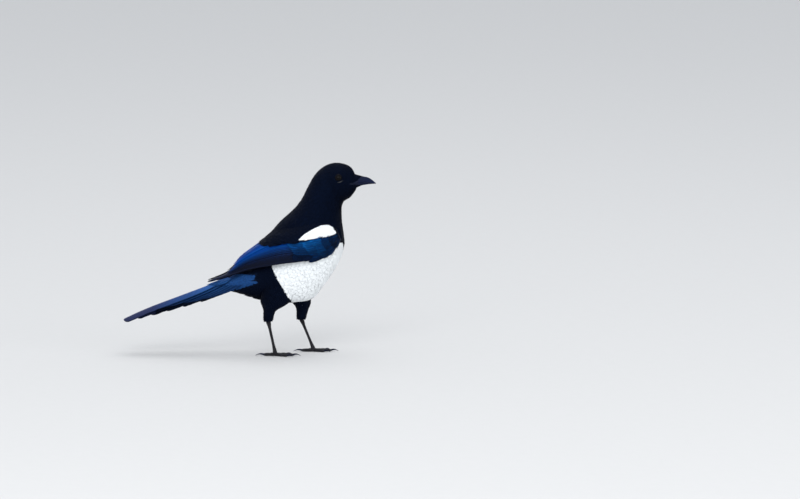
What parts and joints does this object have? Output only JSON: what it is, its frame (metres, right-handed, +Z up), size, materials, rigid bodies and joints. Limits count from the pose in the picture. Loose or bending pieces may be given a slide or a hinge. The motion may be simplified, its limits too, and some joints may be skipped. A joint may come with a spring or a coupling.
{
  "type": "eurasian magpie",
  "caption": "Life-size still model of a Eurasian magpie standing on the ground, head up, wings folded and long tail held low behind.",
  "frame": {"origin": "on the ground, midway between the tip of the bill and the tip of the tail", "axes": "+X ahead, towards the bill; +Y towards the bird's left side; +Z up"},
  "size_m": [0.3559, 0.091, 0.2713],
  "materials": {
    "black_feathers": "soft black plumage with a faint blue gloss",
    "white_feathers": "soft white plumage",
    "blue_feathers": "glossy blue flight feathers",
    "tail_feathers": "glossy blue-green tail feathers, purple towards the tip",
    "horn": "smooth black horn",
    "leg_skin": "black scaly skin",
    "eye": "wet dark brown"
  },
  "bodies": {
    "root": {"head": "black_feathers", "neck": "black_feathers", "torso": "white_feathers", "tail": "tail_feathers", "bill_upper": "horn", "bill_lower": "horn", "eye_right": "eye", "eye_left": "eye", "scapulars_right": "white_feathers", "scapulars_left": "white_feathers", "wing_right": "blue_feathers", "wing_left": "blue_feathers", "thigh_right": "black_feathers", "thigh_left": "black_feathers", "tarsus_right": "leg_skin", "tarsus_left": "leg_skin", "foot_right": "leg_skin", "foot_left": "leg_skin", "claw_right_inner": "horn", "claw_right_middle": "horn", "claw_right_outer": "horn", "claw_right_hind": "horn", "claw_left_inner": "horn", "claw_left_middle": "horn", "claw_left_outer": "horn", "claw_left_hind": "horn"}
  },
  "joints": []
}
